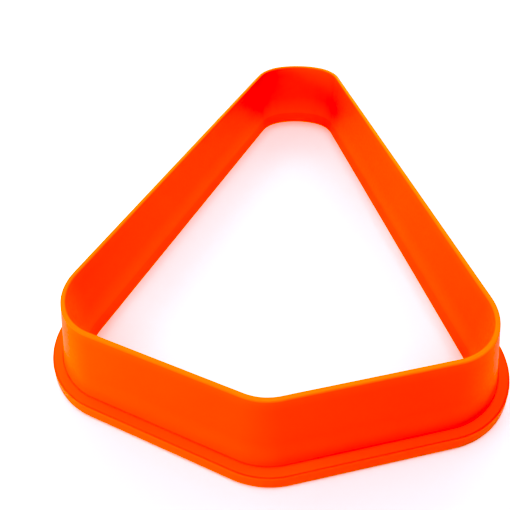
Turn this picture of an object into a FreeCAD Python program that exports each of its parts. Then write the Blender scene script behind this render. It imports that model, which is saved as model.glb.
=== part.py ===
import FreeCAD, Part

import math
import os

import Sketcher
from FreeCAD import Placement, Rotation, Vector

# An open five-sided frame, moulded in one piece of plastic. A wall that is thin at the rim and
# thicker towards the table runs all the way round and stands on a flat foot that reaches out past it.
# Plan: a shallow point in front (-Y), two wide side corners, two long sides that run together,
# and a short bowed nose at the back (+Y). The moulding is divided where its straight sides meet its
# bends, so that each region is a simple solid of its own that touches its neighbours face to face.

# Driving dimensions in millimetres. Plan sizes are taken along the outer edge of the rim, and
# reaches and insets are measured outwards and inwards from that line.
DIMENSIONS = {
    "half_width": 50.0,         # centre line to the sharp side corner, before rounding
    "point_depth": 16.3,        # side corners forward to the sharp front point
    "nose_depth": 110.75,       # side corners back to the nose corners
    "nose_half_width": 11.85,   # centre line to a sharp nose corner
    "nose_bow": 4.35,           # how far the middle of the nose stands back from its corners
    "point_radius": 12.25,
    "side_radius": 13.3,
    "nose_corner_radius": 10.55,
    "frame_height": 21.3,
    "foot_height": 3.3,
    "rim_thickness": 0.9,
    "rim_rounding": 0.15,
    "crease_reach": 4.3,        # where the outer face of the wall meets the foot
    "foot_top_reach": 6.8,
    "foot_reach": 7.3,
    "foot_top_rounding": 0.3,
    "foot_bottom_rounding": 0.35,
    "ledge_height": 4.4,        # inside, the face leans in below this height
    "ledge_inset": 0.95,
    "foot_inset": 1.25,         # inner edge of the underside
}

# The cross-section, anticlockwise: corner name, sign and name of its offset, its height, its rounding.
SECTION = [
    ("foot_inner_bottom", -1, "foot_inset", None, None),
    ("foot_outer_bottom", 1, "foot_reach", None, "foot_bottom_rounding"),
    ("foot_outer_top", 1, "foot_top_reach", "foot_height", "foot_top_rounding"),
    ("crease", 1, "crease_reach", "foot_height", None),
    ("rim_outer", 1, None, "frame_height", "rim_rounding"),
    ("rim_inner", -1, "rim_thickness", "frame_height", "rim_rounding"),
    ("ledge", -1, "ledge_inset", "ledge_height", None),
]

UP = Vector(0, 0, 1)


def heading(vector):
    return math.degrees(math.atan2(vector.y, vector.x))


def turn_between(before, at, after):
    """Unit directions into and out of a plan corner, and the angle it turns through in degrees."""
    way_in = (at - before).normalize()
    way_out = (after - at).normalize()
    return way_in, way_out, math.degrees(way_in.getAngle(way_out))


def setback(radius, turn):
    """Distance from a sharp corner to where its rounding begins."""
    return radius * math.tan(math.radians(turn) / 2)


def plan_corners(size):
    """The six sharp corners of the rim's outer line, anticlockwise from the front point."""
    nose_middle = size["nose_depth"] + size["nose_bow"]
    return [
        ("front_corner", Vector(0, -size["point_depth"], 0), "point_radius", "point_turn"),
        ("right_corner", Vector(size["half_width"], 0, 0), "side_radius", "side_turn"),
        ("nose_right_corner", Vector(size["nose_half_width"], size["nose_depth"], 0),
         "nose_corner_radius", "nose_corner_turn"),
        ("nose_wall", Vector(0, nose_middle, 0), "nose_radius", "nose_turn"),
        ("nose_left_corner", Vector(-size["nose_half_width"], size["nose_depth"], 0),
         "nose_corner_radius", "nose_corner_turn"),
        ("left_corner", Vector(-size["half_width"], 0, 0), "side_radius", "side_turn"),
    ]


# The straight side that follows each plan corner. The nose is all bends, so none follows those.
STRAIGHT_SIDES = {
    "front_corner": ("front_right_wall", "front_side_length"),
    "right_corner": ("right_long_wall", "long_side_length"),
    "nose_left_corner": ("left_long_wall", "long_side_length"),
    "left_corner": ("front_left_wall", "front_side_length"),
}


def corner_turns(corners):
    points = [corner[1] for corner in corners]
    count = len(points)
    return [turn_between(points[i - 1], points[i], points[(i + 1) % count]) for i in range(count)]


def derived_sizes(size):
    """Turns of the bends, lengths of the straight sides and the radius of the bowed nose."""
    corners = plan_corners(size)
    turns = corner_turns(corners)
    found = {corner[3]: turn[2] for corner, turn in zip(corners, turns)}
    nose_side = (corners[3][1] - corners[2][1]).Length
    nose_setback = nose_side - setback(size["nose_corner_radius"], found["nose_corner_turn"])
    found["nose_radius"] = nose_setback / math.tan(math.radians(found["nose_turn"]) / 2)
    radii = dict(size, nose_radius=found["nose_radius"])
    for i, corner in enumerate(corners):
        if corner[0] in STRAIGHT_SIDES:
            after = corners[(i + 1) % len(corners)]
            whole = (after[1] - corner[1]).Length
            ends = sum(setback(radii[end[2]], found[end[3]]) for end in (corner, after))
            found[STRAIGHT_SIDES[corner[0]][1]] = whole - ends
    return found


def fill_sheet(doc, rows):
    sheet = doc.addObject("Spreadsheet::Sheet", "dims")
    for row, (name, value) in enumerate(rows.items(), start=1):
        sheet.set(f"A{row}", name)
        sheet.set(f"B{row}", repr(round(value, 6)))
        sheet.setAlias(f"B{row}", name)
    doc.recompute()
    return sheet


def origin_plane(body, role):
    return next(feature for feature in body.Origin.OriginFeatures if feature.Role == role)


def fix_point(sketch, geometry, position, name, across, height):
    """Holds a sketch point at a place given by two expressions in the sheet's cells."""
    for kind, expression in (("DistanceX", across), ("DistanceY", height)):
        value = sketch.evalExpression(expression)
        index = sketch.addConstraint(Sketcher.Constraint(kind, geometry, position, float(value)))
        sketch.renameConstraint(index, f"{name}_{kind[-1].lower()}")
        sketch.setExpression(f"Constraints.{name}_{kind[-1].lower()}", expression)


def draw_section(body, size, radius_name):
    """Sketches the cross-section with the rim's outer line at the named radius, or at the origin."""
    sketch = body.newObject("Sketcher::SketchObject", f"{body.Name}_section")
    sketch.AttachmentSupport = (origin_plane(body, "XZ_Plane"), [""])
    sketch.MapMode = "FlatFace"
    radius = size[radius_name] if radius_name else 0.0
    points = []
    for name, sign, offset, height, rounding in SECTION:
        across = radius + (sign * size[offset] if offset else 0.0)
        points.append(Vector(across, size[height] if height else 0.0, 0))
    count = len(points)
    turns = [turn_between(points[i - 1], points[i], points[(i + 1) % count]) for i in range(count)]
    trims = [setback(size[row[4]], turn[2]) if row[4] else 0.0 for row, turn in zip(SECTION, turns)]

    sides = []
    for i in range(count):
        after = (i + 1) % count
        way = turns[i][1]
        start = points[i] + way * trims[i]
        end = points[after] - way * trims[after]
        sides.append(sketch.addGeometry(Part.LineSegment(start, end), False))

    for i, (name, sign, offset, height, rounding) in enumerate(SECTION):
        terms = [f"dims.{radius_name}" if radius_name else "0"]
        if offset:
            terms.append(f"{'+' if sign > 0 else '-'} dims.{offset}")
        across = " ".join(terms)
        rise = f"dims.{height}" if height else "0"
        before, after = sides[i - 1], sides[i]
        if not rounding:
            sketch.addConstraint(Sketcher.Constraint("Coincident", before, 2, after, 1))
            fix_point(sketch, after, 1, name, across, rise)
            continue
        inward = UP.cross(turns[i][0])
        centre = points[i] - turns[i][0] * trims[i] + inward * size[rounding]
        first = math.radians(heading(turns[i][0]) - 90)
        circle = Part.Circle(centre, UP, size[rounding])
        sweep = math.radians(turns[i][2])
        arc = sketch.addGeometry(Part.ArcOfCircle(circle, first, first + sweep), False)
        mark = sketch.addGeometry(Part.Point(points[i]), True)
        sketch.addConstraint(Sketcher.Constraint("Tangent", before, 2, arc, 1))
        sketch.addConstraint(Sketcher.Constraint("Tangent", arc, 2, after, 1))
        sketch.addConstraint(Sketcher.Constraint("PointOnObject", mark, 1, before))
        sketch.addConstraint(Sketcher.Constraint("PointOnObject", mark, 1, after))
        fix_point(sketch, mark, 1, name, across, rise)
        index = sketch.addConstraint(Sketcher.Constraint("Radius", arc, size[rounding]))
        sketch.renameConstraint(index, f"{name}_round")
        sketch.setExpression(f"Constraints.{name}_round", f"dims.{rounding}")
    return sketch


def new_body(doc, label):
    body = doc.addObject("PartDesign::Body", label)
    body.Label = label
    return body


def build_bend(doc, size, label, radius_name, turn_name, centre, first_normal):
    """A bend of the frame: the section turned about the upright axis through the bend's centre."""
    body = new_body(doc, label)
    sketch = draw_section(body, size, radius_name)
    bend = body.newObject("PartDesign::Revolution", f"{label}_bend")
    bend.Profile = sketch
    bend.ReferenceAxis = (sketch, ["V_Axis"])
    bend.setExpression("Angle", f"dims.{turn_name}")
    body.Placement = Placement(centre, Rotation(UP, first_normal))
    return body


def build_side(doc, size, label, length_name, start, normal):
    """A straight side: the section drawn out along the side from where the bend before it ends."""
    body = new_body(doc, label)
    sketch = draw_section(body, size, None)
    run = body.newObject("PartDesign::Pad", f"{label}_run")
    run.Profile = sketch
    run.setExpression("Length", f"dims.{length_name}")
    run.Reversed = True
    body.Placement = Placement(start, Rotation(UP, normal))
    return body


def build_frame(doc, size):
    corners = plan_corners(size)
    bodies = []
    for corner, (way_in, way_out, turn) in zip(corners, corner_turns(corners)):
        label, point, radius_name, turn_name = corner
        trim = setback(size[radius_name], turn)
        centre = point - way_in * trim + UP.cross(way_in) * size[radius_name]
        first_normal = heading(way_in) - 90
        bodies.append(build_bend(doc, size, label, radius_name, turn_name, centre, first_normal))
        if label in STRAIGHT_SIDES:
            side, length_name = STRAIGHT_SIDES[label]
            start = point + way_out * trim
            bodies.append(build_side(doc, size, side, length_name, start, heading(way_out) - 90))
    return bodies


def centre_on_origin(doc, bodies):
    """Moves the frame so that the middle of its footprint is at the origin."""
    doc.recompute()
    box = FreeCAD.BoundBox()
    for body in bodies:
        box.add(body.Shape.optimalBoundingBox(False))
    for body in bodies:
        body.Placement.Base = body.Placement.Base - Vector(box.Center.x, box.Center.y, 0)
    doc.recompute()


def check_document(doc, bodies):
    for item in doc.Objects:
        if "Invalid" in item.State or "Error" in item.State:
            raise RuntimeError(f"{item.Name} did not build: {item.State}")
    for body in bodies:
        if body.Shape.isNull() or not body.Shape.isValid() or len(body.Shape.Solids) != 1:
            raise RuntimeError(f"{body.Label} is not one valid solid")


def main():
    doc = FreeCAD.newDocument("open_frame")
    size = dict(DIMENSIONS)
    size.update(derived_sizes(size))
    fill_sheet(doc, size)
    bodies = build_frame(doc, size)
    centre_on_origin(doc, bodies)
    check_document(doc, bodies)
    os.makedirs("parts", exist_ok=True)
    for body in bodies:
        body.Shape.exportStep(f"parts/{body.Label}.step")
        box = body.Shape.optimalBoundingBox(False)
        print(f"{body.Label:18} {body.Shape.Volume:9.2f} mm3  x {box.XMin:7.2f} {box.XMax:7.2f}"
              f"  y {box.YMin:7.2f} {box.YMax:7.2f}  z {box.ZMin:6.2f} {box.ZMax:6.2f}")


main()
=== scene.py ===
import math

import bmesh
import bpy
from mathutils import Matrix, Vector


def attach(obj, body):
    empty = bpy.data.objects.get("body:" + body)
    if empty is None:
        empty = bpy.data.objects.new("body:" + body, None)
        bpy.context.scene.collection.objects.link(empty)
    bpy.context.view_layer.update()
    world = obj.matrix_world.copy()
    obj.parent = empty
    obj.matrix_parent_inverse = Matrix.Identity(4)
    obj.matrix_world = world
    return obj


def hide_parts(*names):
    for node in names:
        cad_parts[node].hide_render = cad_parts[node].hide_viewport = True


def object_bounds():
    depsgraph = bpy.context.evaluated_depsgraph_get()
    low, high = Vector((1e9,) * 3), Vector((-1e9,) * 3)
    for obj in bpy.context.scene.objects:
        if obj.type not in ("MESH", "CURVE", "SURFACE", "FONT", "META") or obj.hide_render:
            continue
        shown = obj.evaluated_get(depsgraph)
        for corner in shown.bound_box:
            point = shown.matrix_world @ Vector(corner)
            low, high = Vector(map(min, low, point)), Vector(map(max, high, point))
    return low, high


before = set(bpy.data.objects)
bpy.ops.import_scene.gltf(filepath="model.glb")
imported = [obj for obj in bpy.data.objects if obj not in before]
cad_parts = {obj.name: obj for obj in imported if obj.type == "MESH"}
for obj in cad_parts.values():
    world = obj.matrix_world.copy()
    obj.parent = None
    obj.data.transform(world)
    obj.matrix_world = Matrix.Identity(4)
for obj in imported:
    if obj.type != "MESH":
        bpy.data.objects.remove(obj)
cad_low, cad_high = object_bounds()

# An open five-sided frame of orange plastic, moulded in one piece. One cross-section is swept round
# the frame's plan, so the visible piece is a single mesh in place of the ten CAD solids.

MM = 0.001

# Plan of the rim's outer edge: sharp corners and the radii that round them.
HALF_WIDTH = 50.0 * MM
POINT_DEPTH = 16.3 * MM
NOSE_DEPTH = 110.75 * MM
NOSE_HALF_WIDTH = 11.85 * MM
NOSE_BOW = 4.35 * MM
POINT_RADIUS = 12.25 * MM
SIDE_RADIUS = 13.3 * MM
NOSE_CORNER_RADIUS = 10.55 * MM
BEND_STEP = math.radians(2.5)       # turn between two stations in a bend
SIDE_STEP = 2.0 * MM                # distance between two stations on a straight side
MIN_BEND_STEPS = 3
SAME_PLACE = 1e-7                   # two stations closer than this are one

# The cross-section, anticlockwise, in mm: offset out from the rim's outer edge, height, rounding,
# and how much painted highlight the plastic gets there, most on the rim and some on the foot's
# edges.
# Two shallow lines run round it, near the foot's edge and in the crease where the wall meets the
# foot.
HEIGHT = cad_high[2] - cad_low[2]
SECTION = [
    (-1.25, 0.00, 0.15, 0.35),
    (7.29, 0.00, 0.35, 0.25),
    (6.84, 3.25, 0.18, 0.25),
    (6.70, 3.25, 0.05, 0.0),
    (6.58, 3.02, 0.04, 0.0),
    (6.46, 3.30, 0.06, 0.0),
    (4.62, 3.30, 0.06, 0.0),
    (4.46, 3.08, 0.05, 0.0),
    (4.28, 3.40, 0.10, 0.0),
    (0.00, HEIGHT / MM, 0.15, 1.0),
    (-0.90, HEIGHT / MM, 0.15, 1.0),
    (-0.95, 4.40, 0.30, 0.0),
]
ROUND_STEPS = 6                     # flats along each rounding
EDGE_BAND = 0.35 * MM               # how far the painted edge highlights reach into the faces
NEAR_EDGE = 0.1                     # share of an edge's painted highlight left at the end of that band
FACE_STEP = 2.5 * MM                # distance between points along a long face


def rounded_corner(before, corner, after, radius, steps):
    """Points along the rounding of one corner of a closed outline, in its own order."""
    way_in = (corner - before).normalized()
    way_out = (after - corner).normalized()
    turn = way_in.angle_signed(way_out)
    if radius <= 0.0 or abs(turn) < 1e-6:
        return [corner]
    trim = radius * math.tan(abs(turn) / 2)
    side = -math.copysign(1.0, turn)         # +1 where the outline turns left
    to_centre = Vector((-way_in.y, way_in.x)) * side
    centre = corner - way_in * trim + to_centre * radius
    points = []
    for i in range(steps + 1):
        swing = Matrix.Rotation(side * abs(turn) * i / steps, 2)
        points.append(centre - swing @ to_centre * radius)
    return points


def section_points():
    """Points round the cross-section, each with how much painted highlight it gets there."""
    corners = [Vector((x * MM, z * MM)) for x, z, rounding, paleness_with_painted_light in SECTION]
    points = []
    for i, (x, z, rounding, paleness_with_painted_light) in enumerate(SECTION):
        after = corners[(i + 1) % len(corners)]
        arc = rounded_corner(corners[i - 1], corners[i], after, rounding * MM, ROUND_STEPS)
        points += [(point, paleness_with_painted_light) for point in arc]
    return spread_wall(points)


def spread_wall(points):
    """Adds points along the long faces, so that the painted highlight stays at the edges."""
    spread = []
    for i, (point, paleness_with_painted_light) in enumerate(points):
        after, painted_highlight_after = points[(i + 1) % len(points)]
        spread.append((point, paleness_with_painted_light))
        gap = (after - point).length
        if gap > EDGE_BAND * 2:
            way = (after - point).normalized()
            spread.append((point + way * EDGE_BAND, paleness_with_painted_light * NEAR_EDGE))
            middle = max(1, round(gap / FACE_STEP))
            for k in range(1, middle):
                spread.append((point.lerp(after, k / middle), 0.0))
            spread.append((after - way * EDGE_BAND, painted_highlight_after * NEAR_EDGE))
    return spread


def plan_stations():
    """Points along the rim's outer edge with the outward normal at each, anticlockwise.

    The nose is all bends, so the radius of its middle is the one that leaves no straight there.
    """
    nose_mid = Vector((0.0, NOSE_DEPTH + NOSE_BOW))
    corners = [
        (Vector((0.0, -POINT_DEPTH)), POINT_RADIUS),
        (Vector((HALF_WIDTH, 0.0)), SIDE_RADIUS),
        (Vector((NOSE_HALF_WIDTH, NOSE_DEPTH)), NOSE_CORNER_RADIUS),
        (nose_mid, None),
        (Vector((-NOSE_HALF_WIDTH, NOSE_DEPTH)), NOSE_CORNER_RADIUS),
        (Vector((-HALF_WIDTH, 0.0)), SIDE_RADIUS),
    ]
    count = len(corners)
    ways = [(corners[(i + 1) % count][0] - corners[i][0]).normalized() for i in range(count)]
    turns = [ways[i - 1].angle(ways[i]) for i in range(count)]
    nose_side = (corners[3][0] - corners[2][0]).length
    nose_trim = nose_side - NOSE_CORNER_RADIUS * math.tan(turns[2] / 2)
    stations = []
    for i, (corner, radius) in enumerate(corners):
        if radius is None:
            radius = nose_trim / math.tan(turns[i] / 2)
        trim = radius * math.tan(turns[i] / 2)
        way = ways[i - 1]
        left = Vector((-way.y, way.x))
        centre = corner - way * trim + left * radius
        if stations:
            add_straight(stations, centre - left * radius, -left)
        steps = max(MIN_BEND_STEPS, math.ceil(turns[i] / BEND_STEP))
        for k in range(steps + 1):
            normal = Matrix.Rotation(turns[i] * k / steps, 2) @ -left
            point = centre + normal * radius
            if k or not stations or (stations[-1][0] - point).length > SAME_PLACE:
                stations.append((point, normal))
    first, normal = stations[0]
    add_straight(stations, first, normal)
    return stations


def add_straight(stations, end, normal):
    """Adds the stations between the last one and a point further along a straight side."""
    start = stations[-1][0]
    steps = max(1, round((end - start).length / SIDE_STEP))
    for k in range(1, steps):
        stations.append((start.lerp(end, k / steps), normal))


def sweep_frame():
    """The moulding as one closed mesh, and how far it was moved along Y to sit on the CAD model."""
    section = section_points()
    stations = plan_stations()
    mesh = bmesh.new()
    # painted highlight on the rim and the foot's edges, kept on each vertex
    painted_edge_highlight = mesh.verts.layers.float.new("painted_edge_highlight")
    rings = []
    for point, normal in stations:
        ring = []
        for profile, paleness_with_painted_light in section:
            place = point + normal * profile.x
            corner = mesh.verts.new((place.x, place.y, profile.y))
            corner[painted_edge_highlight] = paleness_with_painted_light
            ring.append(corner)
        rings.append(ring)
    for i, ring in enumerate(rings):
        following = rings[(i + 1) % len(rings)]
        for k in range(len(ring)):
            m = (k + 1) % len(ring)
            mesh.faces.new((ring[k], ring[m], following[m], following[k]))
    bmesh.ops.recalc_face_normals(mesh, faces=mesh.faces)
    for face in mesh.faces:
        face.smooth = True
    lows = min(v.co.y for v in mesh.verts)
    highs = max(v.co.y for v in mesh.verts)
    shift = (cad_low[1] + cad_high[1]) / 2 - (lows + highs) / 2
    bmesh.ops.translate(mesh, verts=mesh.verts, vec=(0.0, shift, cad_low[2]))
    data = bpy.data.meshes.new("frame_moulding")
    mesh.to_mesh(data)
    mesh.free()
    piece = bpy.data.objects.new("frame_moulding", data)
    bpy.context.scene.collection.objects.link(piece)
    return piece, shift


def node(tree, kind, **values):
    """A shader node with its properties and its named or numbered inputs set."""
    made = tree.nodes.new(kind)
    for key, value in values.items():
        if hasattr(made, key):
            setattr(made, key, value)
        else:
            made.inputs[key.replace("_", " ")].default_value = value
    return made


BODY_COLOUR = (1.0, 0.043, 0.0, 1.0)
# pale colour for the painted light, and for the faint flow of real tone
PAINTED_LIGHT_AND_FLOW_COLOUR = (1.0, 0.175, 0.004, 1.0)
# How far the plastic goes from the body colour to the pale one, beside the painted edge highlights:
# a faint random flow of real tone, and painted light on the left, low down and at the nose.
FLOW_PALENESS = 0.05
# painted light: the plastic made paler towards the left, where the key light falls
LEFT_PAINTED_LIGHT = 0.27
LOW_PAINTED_LIGHT = [(0.0, 0.08), (3.35, 0.08), (3.7, 0.24), (10.0, 0.0)]    # height in mm, amount of painted light low down
# painted light: the shaded nose made paler
NOSE_PAINTED_LIGHT = 0.17
NOSE_FROM = 14 * MM      # distance from the back of the frame where the painted light at the nose starts
NOSE_FULL = 8 * MM       # and where it is full


def plastic():
    """Satin moulded plastic with painted light: painted highlights at the edges, painted light to
    the left, low down and at the nose.

    A faint flow varies its colour, and a fine grain its roughness and relief.
    """
    material = bpy.data.materials.new("orange_plastic")
    material.use_nodes = True
    tree = material.node_tree
    link = tree.links.new
    shader = tree.nodes["Principled BSDF"]
    shader.inputs["Specular IOR Level"].default_value = 0.2
    shader.inputs["Specular Tint"].default_value = (1.0, 0.55, 0.08, 1.0)
    place = node(tree, "ShaderNodeTexCoord")

    flow = node(tree, "ShaderNodeTexNoise", Scale=55.0, Detail=3.0, Roughness=0.5)
    link(place.outputs["Object"], flow.inputs["Vector"])
    flow_amount = node(tree, "ShaderNodeMapRange", From_Min=0.3, From_Max=0.7,
                       To_Min=0.0, To_Max=FLOW_PALENESS)
    link(flow.outputs["Fac"], flow_amount.inputs["Value"])
    axes = node(tree, "ShaderNodeSeparateXYZ")
    link(place.outputs["Object"], axes.inputs["Vector"])
    # painted light, growing towards the left side
    painted_left_mask = node(tree, "ShaderNodeMapRange", From_Min=HALF_WIDTH, From_Max=-HALF_WIDTH,
                    To_Min=0.0, To_Max=LEFT_PAINTED_LIGHT)
    link(axes.outputs["X"], painted_left_mask.inputs["Value"])
    # painted light at the nose, full at the back of the frame
    painted_nose_mask = node(tree, "ShaderNodeMapRange", From_Min=cad_high[1] - NOSE_FROM,
                    From_Max=cad_high[1] - NOSE_FULL, To_Min=0.0, To_Max=NOSE_PAINTED_LIGHT)
    link(axes.outputs["Y"], painted_nose_mask.inputs["Value"])
    height = node(tree, "ShaderNodeMapRange", From_Min=cad_low[2], From_Max=cad_high[2])
    link(axes.outputs["Z"], height.inputs["Value"])
    # painted light low down, on the foot and the bottom of the wall
    low = tree.nodes.new("ShaderNodeValToRGB")
    for end in low.color_ramp.elements:
        end.color = (0.0, 0.0, 0.0, 1.0)
    for level, paleness in LOW_PAINTED_LIGHT:
        stop = low.color_ramp.elements.new(level * MM / HEIGHT)
        stop.color = (paleness, paleness, paleness, 1.0)
    link(height.outputs["Result"], low.inputs["Fac"])
    # the painted edge highlight, read from the mesh
    painted_edge_highlight = node(tree, "ShaderNodeAttribute", attribute_name="painted_edge_highlight")
    paleness_with_painted_light = painted_edge_highlight.outputs["Fac"]
    # adds the flow's real tone and the painted light on the left, low down and at the nose to the
    # painted edge highlight
    for share in (flow_amount.outputs["Result"], painted_left_mask.outputs["Result"],
                  painted_nose_mask.outputs["Result"], low.outputs["Color"]):
        total = node(tree, "ShaderNodeMath", operation="ADD", use_clamp=True)
        link(paleness_with_painted_light, total.inputs[0])
        link(share, total.inputs[1])
        paleness_with_painted_light = total.outputs["Value"]
    colour = node(tree, "ShaderNodeMix", data_type="RGBA")
    colour.inputs["A"].default_value = BODY_COLOUR
    colour.inputs["B"].default_value = PAINTED_LIGHT_AND_FLOW_COLOUR
    link(paleness_with_painted_light, colour.inputs["Factor"])
    link(colour.outputs["Result"], shader.inputs["Base Color"])

    grain = node(tree, "ShaderNodeTexNoise", Scale=1400.0, Detail=2.0, Roughness=0.6)
    link(place.outputs["Object"], grain.inputs["Vector"])
    satin = node(tree, "ShaderNodeMapRange", From_Min=0.3, From_Max=0.7, To_Min=0.36, To_Max=0.46)
    link(grain.outputs["Fac"], satin.inputs["Value"])
    link(satin.outputs["Result"], shader.inputs["Roughness"])
    relief = node(tree, "ShaderNodeBump", Strength=0.15, Distance=0.00005)
    link(grain.outputs["Fac"], relief.inputs["Height"])
    link(relief.outputs["Normal"], shader.inputs["Normal"])
    return material


FLOOR_HALF_SIZE = 1.2
FADE_START = 0.22        # distance from the middle where the floor starts to fade to plain white
FADE_END = 0.42          # and where it is plain white


def white_board():
    """Matt white board with a fine tooth and a hardly visible mottle, lost in white far away."""
    material = bpy.data.materials.new("white_board")
    material.use_nodes = True
    tree = material.node_tree
    link = tree.links.new
    shader = tree.nodes["Principled BSDF"]
    place = node(tree, "ShaderNodeTexCoord")
    mottle = node(tree, "ShaderNodeTexNoise", Scale=40.0, Detail=2.0)
    link(place.outputs["Object"], mottle.inputs["Vector"])
    colour = node(tree, "ShaderNodeMix", data_type="RGBA")
    colour.inputs["A"].default_value = (0.945, 0.915, 0.953, 1.0)
    colour.inputs["B"].default_value = (0.955, 0.925, 0.963, 1.0)
    link(mottle.outputs["Fac"], colour.inputs["Factor"])
    link(colour.outputs["Result"], shader.inputs["Base Color"])
    tooth = node(tree, "ShaderNodeTexNoise", Scale=900.0, Detail=2.0)
    link(place.outputs["Object"], tooth.inputs["Vector"])
    matt = node(tree, "ShaderNodeMapRange", To_Min=0.55, To_Max=0.7)
    link(tooth.outputs["Fac"], matt.inputs["Value"])
    link(matt.outputs["Result"], shader.inputs["Roughness"])
    relief = node(tree, "ShaderNodeBump", Strength=0.1, Distance=0.00005)
    link(tooth.outputs["Fac"], relief.inputs["Height"])
    link(relief.outputs["Normal"], shader.inputs["Normal"])
    away = node(tree, "ShaderNodeVectorMath", operation="LENGTH")
    link(place.outputs["Object"], away.inputs[0])
    fade = node(tree, "ShaderNodeMapRange", From_Min=FADE_START, From_Max=FADE_END)
    link(away.outputs["Value"], fade.inputs["Value"])
    shader.inputs["Emission Color"].default_value = (1.0, 1.0, 1.0, 1.0)
    link(fade.outputs["Result"], shader.inputs["Emission Strength"])
    return material


def white_floor():
    """The board that the frame stands on."""
    mesh = bmesh.new()
    bmesh.ops.create_grid(mesh, x_segments=1, y_segments=1, size=FLOOR_HALF_SIZE)
    data = bpy.data.meshes.new("floor")
    mesh.to_mesh(data)
    mesh.free()
    floor = bpy.data.objects.new("floor", data)
    floor.location.z = cad_low[2]
    bpy.context.scene.collection.objects.link(floor)
    floor.data.materials.append(white_board())


# Camera: focal length as a share of the picture's width, direction from the target, and the target
# on the floor, measured from the middle of the line between the side corners.
FOCAL_SHARE = 540.06 / 510
ELEVATION = math.radians(45.643)
AZIMUTH = math.radians(8.337)
ROLL = math.radians(-2.811)
CAMERA_DISTANCE = 153.95 * MM
TARGET_X = -8.265 * MM
TARGET_Y = 41.824 * MM


def camera(shift):
    """Camera of the product shot: close above the front, turned and rolled a little."""
    target = Vector((TARGET_X, TARGET_Y + shift, cad_low[2]))
    back = Vector((math.sin(AZIMUTH) * math.cos(ELEVATION),
                   -math.cos(AZIMUTH) * math.cos(ELEVATION), math.sin(ELEVATION)))
    level = Vector((0, 0, 1)).cross(back).normalized()
    upright = back.cross(level)
    right = math.cos(ROLL) * level + math.sin(ROLL) * upright
    up = math.cos(ROLL) * upright - math.sin(ROLL) * level
    data = bpy.data.cameras.new("camera")
    data.sensor_width = 36.0
    data.lens = FOCAL_SHARE * data.sensor_width
    data.clip_start = 0.01
    lens = bpy.data.objects.new("camera", data)
    axes = Matrix((right, up, back)).transposed().to_4x4()
    lens.matrix_world = Matrix.Translation(target + back * CAMERA_DISTANCE) @ axes
    bpy.context.scene.collection.objects.link(lens)
    bpy.context.scene.camera = lens


# Direction from the frame, side of the square in metres, power in watts.
SOFTBOXES = {
    "overhead": ((0.0, 0.1, 1.0), 0.6, 17.0),
    "front_high": ((0.0, -0.7, 1.0), 0.8, 6.5),
    "key_left": ((-1.0, -0.4, 0.15), 0.9, 27.5),
    "back": ((0.0, 1.0, 0.5), 1.5, 20.0),
    "back_right": ((0.7, 0.9, 0.5), 1.5, 3.3),
    "back_left": ((-0.7, 0.9, 0.5), 1.5, 4.2),
    "back_left_high": ((-0.45, 0.44, 0.78), 0.9, 4.6),
    "back_right_high": ((0.36, 0.45, 0.81), 0.9, 2.4),
}
SOFTBOX_DISTANCE = 1.8


def softbox(name, direction, size, power):
    """A square studio light that faces the middle of the frame."""
    data = bpy.data.lights.new(name, "AREA")
    data.shape = "SQUARE"
    data.size = size
    data.energy = power
    lamp = bpy.data.objects.new(name, data)
    way = Vector(direction).normalized()
    lamp.matrix_world = (Matrix.Translation(way * SOFTBOX_DISTANCE)
                         @ way.to_track_quat("Z", "Y").to_matrix().to_4x4())
    bpy.context.scene.collection.objects.link(lamp)


def lights():
    """All the softboxes."""
    for name, (direction, size, power) in SOFTBOXES.items():
        softbox(name, direction, size, power)


def white_surround():
    """A world that is white behind the floor and gives hardly any light of its own."""
    world = bpy.data.worlds.new("studio")
    world.use_nodes = True
    tree = world.node_tree
    tree.nodes["Background"].inputs["Strength"].default_value = 0.018
    seen = node(tree, "ShaderNodeBackground", Strength=1.0)
    seen.inputs["Color"].default_value = (1.0, 1.0, 1.0, 1.0)
    ray = node(tree, "ShaderNodeLightPath")
    mix = node(tree, "ShaderNodeMixShader")
    tree.links.new(ray.outputs["Is Camera Ray"], mix.inputs["Fac"])
    tree.links.new(tree.nodes["Background"].outputs["Background"], mix.inputs[1])
    tree.links.new(seen.outputs["Background"], mix.inputs[2])
    tree.links.new(mix.outputs["Shader"], tree.nodes["World Output"].inputs["Surface"])
    bpy.context.scene.world = world


def grade():
    """The vivid grade of a product shot: reds reach full early, weak greens and blues drop out."""
    settings = bpy.context.scene.view_settings
    settings.view_transform = "Standard"
    settings.use_curve_mapping = True
    curves = settings.curve_mapping
    curves.black_level = (0.0, 0.030, 0.112)
    curves.white_level = (0.6, 0.91, 0.88)
    curves.update()


piece, shift = sweep_frame()
piece.data.materials.append(plastic())
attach(piece, "root")
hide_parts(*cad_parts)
white_floor()
camera(shift)
lights()
white_surround()
grade()
